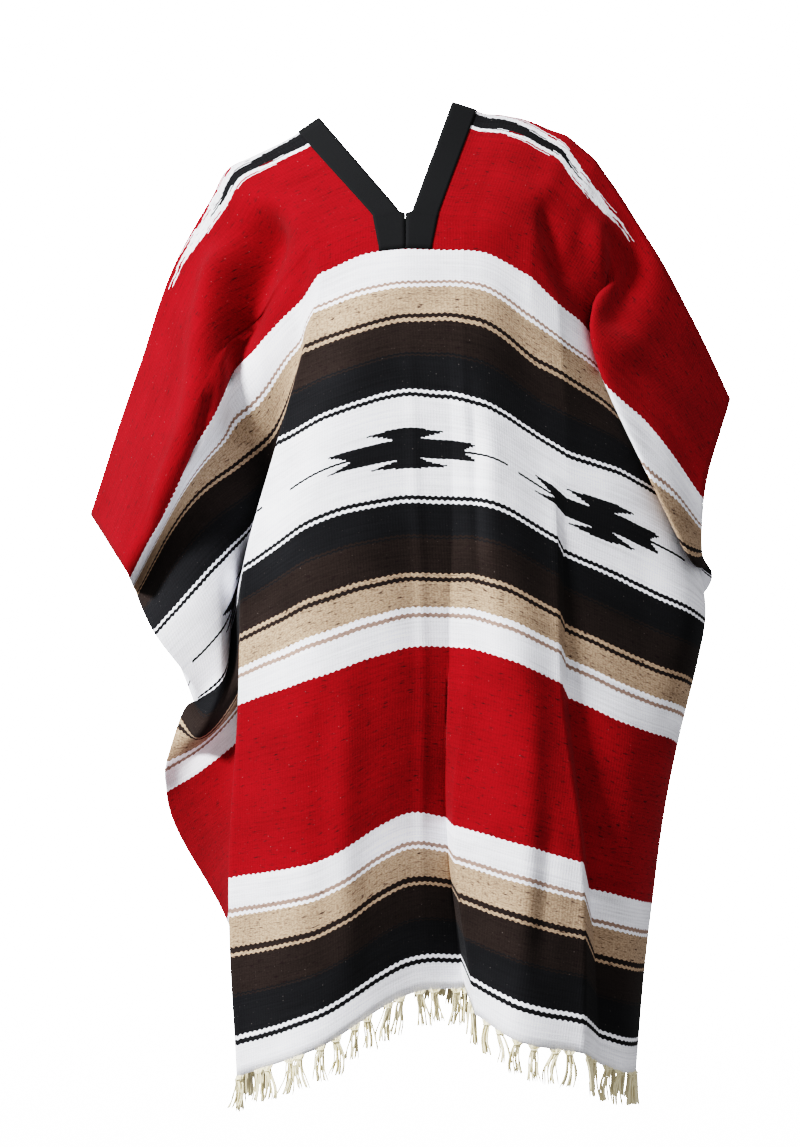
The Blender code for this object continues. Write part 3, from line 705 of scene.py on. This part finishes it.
at = n.math("ADD", n.math("DIVIDE", s, 2 * COURSE_REACH * MM), 0.5)
course = n.add("ShaderNodeValToRGB", {"Fac": at})
course.color_ramp.interpolation = "B_SPLINE"
course.color_ramp.elements[0].position = 0.0
course.color_ramp.elements.remove(course.color_ramp.elements[1])
for each in SHOULDER_COURSE[1:]:
    course.color_ramp.elements.new(each.across / (2 * COURSE_REACH) + 0.5)
for element, each in zip(course.color_ramp.elements, SHOULDER_COURSE):
    element.color = (each.down / COURSE_DEPTH,) * 3 + (1.0,)
signed_down = n.math("ADD", t, n.scaled(n.noise(s, t, 26.0, 0.0, 2.0), 0.5, SHOULDER_WANDER))
signed_down = n.math("SUBTRACT", n.math("ADD", signed_down, small_teeth),
                     n.math("MULTIPLY", course.outputs["Color"], COURSE_DEPTH * MM))
at = n.math("ADD", n.math("DIVIDE", signed_down, SHOULDER_HEIGHT * MM), 0.5)
reach, again_end = n.steps(at, [r.down / SHOULDER_HEIGHT + 0.5 for r in SHOULDER_ROWS],
                           [tuple(end / SHOULDER_REACH for end in r[1:]) for r in SHOULDER_ROWS])
reach = n.add("ShaderNodeSeparateColor", {"Color": reach})
out = n.math("DIVIDE", n.math("ABSOLUTE", s), SHOULDER_REACH * MM)
again = n.math("MULTIPLY", n.math("GREATER_THAN", out, reach.outputs["Blue"]),
               n.math("LESS_THAN", out, again_end))
colour = n.mix(n.math("MAXIMUM", n.math("LESS_THAN", out, reach.outputs["Green"]), again), colour, WHITE)
colour = n.mix(n.math("LESS_THAN", out, reach.outputs["Red"]), colour, BLACK)

figure_down = n.math("SUBTRACT", n.math("ADD", even_down, small_teeth), FIGURE_MIDDLE * MM)
at = n.math("ADD", n.math("DIVIDE", figure_down, FIGURE_HEIGHT * MM), 0.5)
reach, _ = n.steps(at, [r.down / FIGURE_HEIGHT + 0.5 for r in FIGURE_ROWS],
                   [(r.left / FIGURE_REACH, r.right / FIGURE_REACH, 0.0, 1.0) for r in FIGURE_ROWS])
reach = n.add("ShaderNodeSeparateColor", {"Color": reach})
to_right = n.math("MULTIPLY", n.math("GREATER_THAN", s, FIGURE_RIGHT / 2 * MM), FIGURE_RIGHT * MM)
to_left = n.math("MULTIPLY", n.math("LESS_THAN", s, FIGURE_LEFT / 2 * MM), FIGURE_LEFT * MM)
nearest = n.math("ADD", to_right, to_left)
out = n.math("DIVIDE", n.math("SUBTRACT", s, nearest), FIGURE_REACH * MM)
inside = n.math("MULTIPLY", n.math("LESS_THAN", out, reach.outputs["Green"]),
                n.math("GREATER_THAN", out, n.math("MULTIPLY", reach.outputs["Red"], -1.0)))
colour = n.mix(inside, colour, BLACK)

heather = n.math("MINIMUM", n.math("MAXIMUM", weave.outputs["heather"], 0.0), 1.0)
darker = n.mix(1.0, colour, (0.42, 0.34, 0.32), "MULTIPLY")
colour = n.mix(n.math("MULTIPLY", n.math("MULTIPLY", heather, heathered), HEATHER), colour, darker)
flecks = n.math("MULTIPLY", n.math("MINIMUM", n.math("MULTIPLY", heathered, 2.0), 1.0), DARK_FLECKS)
colour = n.mix(n.math("MULTIPLY", weave.outputs["dark_fleck"], flecks), colour, (0.02, 0.012, 0.014))
pale = n.math("MULTIPLY", weave.outputs["pale_fleck"], PALE_FLECKS)
colour = n.mix(pale, colour, (0.62, 0.55, 0.52))
# The yarn's shade multiplies the colour: random tone from rows, nap and patches, with painted shade between
# the warp's ribs.
shade = n.add("ShaderNodeCombineXYZ", {axis: weave.outputs["shade"] for axis in "XYZ"}).outputs[0]
shaded = n.add("ShaderNodeVectorMath", {0: colour, 1: shade}, operation="MULTIPLY")
n.put(shader.inputs["Base Color"], shaded.outputs[0])
shader.inputs["Specular IOR Level"].default_value = 0.15
shader.inputs["Sheen Weight"].default_value = 0.04
shader.inputs["Sheen Roughness"].default_value = 0.5
bump = n.add("ShaderNodeBump", {"Height": weave.outputs["height"], "Strength": 0.55, "Distance": 0.0009})
n.put(shader.inputs["Normal"], bump.outputs["Normal"])

# Cloth, mesh. The cloth is some 2 mm thick, and its edges aren't turned under. The wall's two sides are the
# rows moved half its thickness each way, joined by a rim round every edge.


def add_mesh(name, points, faces, material, places=None):
    """A smooth mesh piece from points in millimetres. Places on the cloth, where given, are its UV map."""
    mesh = bpy.data.meshes.new(name)
    mesh.from_pydata((np.asarray(points) * MM).tolist(), [], faces)
    mesh.shade_smooth()
    mesh.materials.append(material)
    if places is not None:
        corners = np.empty(len(mesh.loops), int)
        mesh.loops.foreach_get("vertex_index", corners)
        layer = mesh.uv_layers.new(name="on_cloth")
        layer.data.foreach_set("uv", (np.asarray(places)[corners] * MM).ravel())
    piece = bpy.data.objects.new(name, mesh)
    bpy.context.scene.collection.objects.link(piece)
    return piece


def grid_faces(rows):
    return [(a[j], b[j], b[j + 1], a[j + 1]) for a, b in zip(rows[:-1], rows[1:])
            for j in range(len(a) - 1)]


middles, out_of, places, left_rows, right_rows = [], [], [], [], []
for i, slit in enumerate(parted):
    left_rows.append(list(range(len(middles), len(middles) + left.shape[1])))
    middles += list(left[i])
    out_of += list(left_out[i])
    places += list(zip(halves[0][0][i], halves[0][1][i]))
    start = 0 if slit else 1
    more = range(len(middles), len(middles) + right.shape[1] - start)
    right_rows.append(left_rows[-1][-1:] * start + list(more))
    middles += list(right[i][start:])
    out_of += list(right_out[i][start:])
    places += list(zip(halves[1][0][i][start:], halves[1][1][i][start:]))
middles, out_of = np.array(middles), np.array(out_of)
count = len(middles)
faces = grid_faces(left_rows) + grid_faces(right_rows)
faces += [tuple(p + count for p in face[::-1]) for face in faces]
opened = np.flatnonzero(parted)
slit_span = range(opened[0] - 1, opened[-1] + 2)
rims = [[row[0] for row in left_rows[::-1]], left_rows[0] + right_rows[0][1:],
        [row[-1] for row in right_rows], (left_rows[-1] + right_rows[-1][1:])[::-1],
        [left_rows[i][-1] for i in slit_span], [right_rows[i][0] for i in slit_span[::-1]]]
for rim in rims:
    faces += [(a, b, b + count, a + count) for a, b in zip(rim[:-1], rim[1:])]
both = np.concatenate([middles + out_of * WALL / 2, middles - out_of * WALL / 2])
cloth = add_mesh("woven_cloth", both, faces, cloth_material, places + places)
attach(cloth, "root")
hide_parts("cloth")

# Neck bands. Each is a strip of black cloth folded over one side of the slit and sewn down, from the front
# end of the slit over the shoulder to the back end. It lies just off the cloth's wall.
SEAM_GAP = 0.3
BAND_WALL = 1.0
BAND_ROUNDING = 0.3
BAND_YARN_FINER = 2.6
BAND_COLUMNS = BAND_FACES * FINER
band_material, n, shader = new_material("band_cloth", 0.85)
place = n.add("ShaderNodeSeparateXYZ", {"Vector": n.add("ShaderNodeUVMap", uv_map="on_cloth").outputs[0]})
s, t = (n.math("MULTIPLY", place.outputs[axis], BAND_YARN_FINER) for axis in "XY")
weave = n.add("ShaderNodeGroup", {"s": s, "t": t}, node_tree=yarn)
shader.inputs["Base Color"].default_value = (0.0195, 0.0200, 0.0210, 1.0)
shader.inputs["Specular IOR Level"].default_value = 0.12
shader.inputs["Sheen Weight"].default_value = 0.02
bump = n.add("ShaderNodeBump", {"Height": weave.outputs["height"], "Strength": 0.4, "Distance": 0.0004})
n.put(shader.inputs["Normal"], bump.outputs["Normal"])
for name, side, grid, out_grid in (("bound_edge_left", -1, left[:, ::-1], left_out[:, ::-1]),
                                   ("bound_edge_right", 1, right, right_out)):
    inner, outer = WALL / 2 + SEAM_GAP, WALL / 2 + SEAM_GAP + BAND_WALL
    past = SEAM_GAP + BAND_WALL
    sections, section_places = [], []
    for i in opened:
        here, normal = grid[i, :BAND_COLUMNS + 1], out_grid[i, :BAND_COLUMNS + 1]
        edge = here[0] - here[1]
        edge /= np.linalg.norm(edge)
        k = np.arange(BAND_COLUMNS, 0, -1)
        inside = [*(here[k] + normal[k] * inner), here[0] + normal[0] * inner + edge * SEAM_GAP,
                  here[0] - normal[0] * inner + edge * SEAM_GAP,
                  *(here[1:BAND_COLUMNS // 2] - normal[1:BAND_COLUMNS // 2] * inner)]
        outside = [*(here[1:BAND_COLUMNS // 2] - normal[1:BAND_COLUMNS // 2] * outer)[::-1],
                   here[0] - normal[0] * (outer - BAND_ROUNDING) + edge * (past - BAND_ROUNDING),
                   here[0] + edge * past,
                   here[0] + normal[0] * (outer - BAND_ROUNDING) + edge * (past - BAND_ROUNDING),
                   *(here[1:BAND_COLUMNS + 1] + normal[1:BAND_COLUMNS + 1] * outer)]
        sections.append(inside + outside)
        section_places.append([(across, downs[i]) for across in lengths_along(sections[-1])])
    wide = len(sections[0])
    rings = [list(range(k * wide, (k + 1) * wide)) + [k * wide] for k in range(len(sections))]
    faces = grid_faces(rings)
    faces += [tuple(rings[0][:-1]), tuple(rings[-1][:-1][::-1])]
    if side > 0:
        faces = [face[::-1] for face in faces]
    piece = add_mesh(name, [p for section in sections for p in section], faces, band_material,
                     [p for section in section_places for p in section])
    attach(piece, "root")
    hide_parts("neck_band_left" if side < 0 else "neck_band_right")

# Fringe. The cream warp ends are tied in bunches just below each hem. Each bunch's yarns hang loose and a
# little wavy, and a turn of yarn round them makes the knot.
BUNCHES = 41
YARNS = 9
YARN_SIDES = 5
YARN_RADIUS = 1.1
FRINGE_LENGTH = 43.0
KNOT_DROP = 3.5
ROOTS_WIDE, KNOT_WIDE, ENDS_WIDE = 15, 7, 8
IN_PAIRS, STRAY, LEAN, SWAY = 0.14, 0.12, 7, 4
OFF_PATH = (0.0, 1.0, 0.13)
fringe_material, n, shader = new_material("cream_yarn", 0.9)
strand = n.add("ShaderNodeTexNoise", {"Vector": n.add("ShaderNodeTexCoord").outputs["Object"], "Scale": 160.0,
                                      "Detail": 3.0}).outputs["Fac"]
n.put(shader.inputs["Base Color"], n.mix(strand, (0.66, 0.57, 0.38), (0.95, 0.89, 0.70)))
shader.inputs["Specular IOR Level"].default_value = 0.2
shader.inputs["Sheen Weight"].default_value = 0.2
bump = n.add("ShaderNodeBump", {"Height": strand, "Strength": 0.6, "Distance": 0.0006})
n.put(shader.inputs["Normal"], bump.outputs["Normal"])
chance = np.random.default_rng(7)


def tube(points, radii, first, sides):
    """The points and faces of a round-ended tube along a path, its points numbered from first on."""
    path = np.array(points)
    along = np.gradient(path, axis=0)
    along /= np.linalg.norm(along, axis=1)[:, None]
    aside = np.cross(along, OFF_PATH)
    aside /= np.linalg.norm(aside, axis=1)[:, None]
    over = np.cross(along, aside)
    angles = np.linspace(0, 2 * np.pi, sides, endpoint=False)
    rings = [p + r * (np.cos(a) * u + np.sin(a) * v) for p, r, u, v in zip(path, radii, aside, over)
             for a in angles]
    loops = [[first + k * sides + j for j in (*range(sides), 0)] for k in range(len(path))]
    faces = grid_faces(loops) + [tuple(loops[0][:-1]), tuple(loops[-1][:-1][::-1])]
    return rings, faces


for name, hem, node in (("knotted_fringe_front", -1, "fringe_front"),
                        ("knotted_fringe_back", 0, "fringe_back")):
    row = np.vstack([left[hem], right[hem][1:]])
    row_out = np.vstack([left_out[hem], right_out[hem][1:]])
    along = lengths_along(row)
    points, faces = [], []

    def put(path, radii, sides=YARN_SIDES):
        more, more_faces = tube(path, radii, len(points), sides)
        points.extend(more)
        faces.extend(more_faces)

    for bunch in range(BUNCHES):
        uneven = IN_PAIRS * (-1) ** bunch + chance.uniform(-STRAY, STRAY)
        middle = along[-1] * (bunch + 0.5 + uneven) / BUNCHES
        at = [np.interp(middle, along, row[:, k]) for k in range(3)]
        out = np.array([np.interp(middle, along, row_out[:, k]) for k in range(3)])
        forward = np.array([np.interp(middle + 4, along, row[:, k]) for k in range(3)]) - at
        forward[2] = 0.0
        forward /= np.linalg.norm(forward)
        knot = np.array(at) + out * 0.6 + (0, 0, -KNOT_DROP)
        lean, sway = chance.uniform(-LEAN, LEAN), chance.uniform(-SWAY, SWAY)
        length = FRINGE_LENGTH - KNOT_DROP + chance.uniform(-7, 1)
        for k in range(YARNS):
            aside = k / (YARNS - 1) - 0.5
            root = np.array([np.interp(middle + aside * ROOTS_WIDE, along, row[:, m]) for m in range(3)])
            near = knot + forward * aside * KNOT_WIDE + out * chance.uniform(-2.2, 2.2)
            wave = chance.uniform(0, 2 * np.pi)
            curl = forward * chance.uniform(0.3, 1.0)
            end = forward * (aside * ENDS_WIDE + lean + chance.uniform(-2, 2)) + out * chance.uniform(-4, 4)
            path = [root + (0, 0, 1.5), (root + near) / 2 + out * 0.4, near]
            for u in (0.15, 0.3, 0.45, 0.6, 0.75, 0.9, 1.0):
                fall = (0, 0, -u * (length + chance.uniform(-1, 1)))
                bend = forward * sway * np.sin(np.pi * u)
                path.append(near + end * u + bend + curl * np.sin(wave + 7 * u) + fall)
            put(path, [YARN_RADIUS] * (len(path) - 1) + [YARN_RADIUS * 0.6])
        turn = np.linspace(0, 2.2 * np.pi, 13)
        ring = [knot + forward * 4.2 * np.cos(a) + out * 2.8 * np.sin(a)
                + (0, 0, 0.8 * np.cos(a * 0.5 + bunch)) for a in turn]
        put(ring, [0.9] * len(ring), 6)
    piece = add_mesh(name, points, faces, fringe_material)
    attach(piece, "root")
    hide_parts(node)

# Studio. A round pale floor turns up far out into a low glowing wall, so that it is pale behind the cloth
# from any side. Soft light comes from the upper left, with a weaker fill.
FLOOR_HEIGHT = -1.46
WALL_RADIUS, WALL_TURN, WALL_TOP = 12.0, 1.5, 3.0
ROUND_PARTS = 96
turn = np.linspace(0, np.pi / 2, 9)
profile = [(0.4, 0.0), (4.0, 0.0)]
profile += [(WALL_RADIUS + WALL_TURN * (np.sin(a) - 1), WALL_TURN * (1 - np.cos(a))) for a in turn]
profile += [(WALL_RADIUS, WALL_TOP)]
points = [(r * np.cos(a), r * np.sin(a), FLOOR_HEIGHT + z) for r, z in profile
          for a in np.linspace(0, 2 * np.pi, ROUND_PARTS, endpoint=False)]
rings = [[k * ROUND_PARTS + j % ROUND_PARTS for j in range(ROUND_PARTS + 1)] for k in range(len(profile))]
faces = [tuple(rings[0][:-1])] + grid_faces(rings)
floor_material, n, shader = new_material("pale_floor", 0.9)
shader.inputs["Base Color"].default_value = (0.86, 0.86, 0.86, 1.0)
shader.inputs["Specular IOR Level"].default_value = 0.1
place = n.add("ShaderNodeSeparateXYZ", {"Vector": n.add("ShaderNodeTexCoord").outputs["Object"]})
far = n.math("ADD", *(n.math("POWER", place.outputs[axis], 2.0) for axis in "XY"))
far = n.math("DIVIDE", n.math("SQRT", far), WALL_RADIUS)
# The floor glows as well as the wall: faintly near the middle, fully out at the wall. The cloth's diffuse and
# glossy rays don't see it.
n.put(shader.inputs["Emission Color"], n.mix(far, (0.36, 0.36, 0.36), (1.0, 1.0, 1.0)))
shader.inputs["Emission Strength"].default_value = 9.0
floor = add_mesh("floor", np.array(points) / MM, faces, floor_material)
floor.visible_diffuse = floor.visible_glossy = False
world = bpy.data.worlds.new("studio")
world.use_nodes = True
world.node_tree.nodes["Background"].inputs["Color"].default_value = (1.0, 1.0, 1.0, 1.0)
world.node_tree.nodes["Background"].inputs["Strength"].default_value = 0.17
bpy.context.scene.world = world
Light = namedtuple("Light", "name place aim size power")
for light in (Light("key", (-5.0, -4.0, 3.4), (0, -0.1, -0.5), 1.3, 370),
              Light("fill", (0.6, -5.2, 0.6), (0, 0, -0.5), 2.4, 6)):
    data = bpy.data.lights.new(light.name, "AREA")
    data.size = light.size
    data.energy = light.power
    lamp = bpy.data.objects.new(light.name, data)
    lamp.location = light.place
    aim = np.array(light.aim) - np.array(light.place)
    lamp.rotation_euler = (np.arctan2(np.hypot(aim[0], aim[1]), -aim[2]), 0.0, -np.arctan2(aim[0], aim[1]))
    bpy.context.scene.collection.objects.link(lamp)
bpy.context.scene.view_settings.view_transform = "Filmic"
bpy.context.scene.view_settings.look = "Very High Contrast"
bpy.context.scene.view_settings.exposure = 1.2
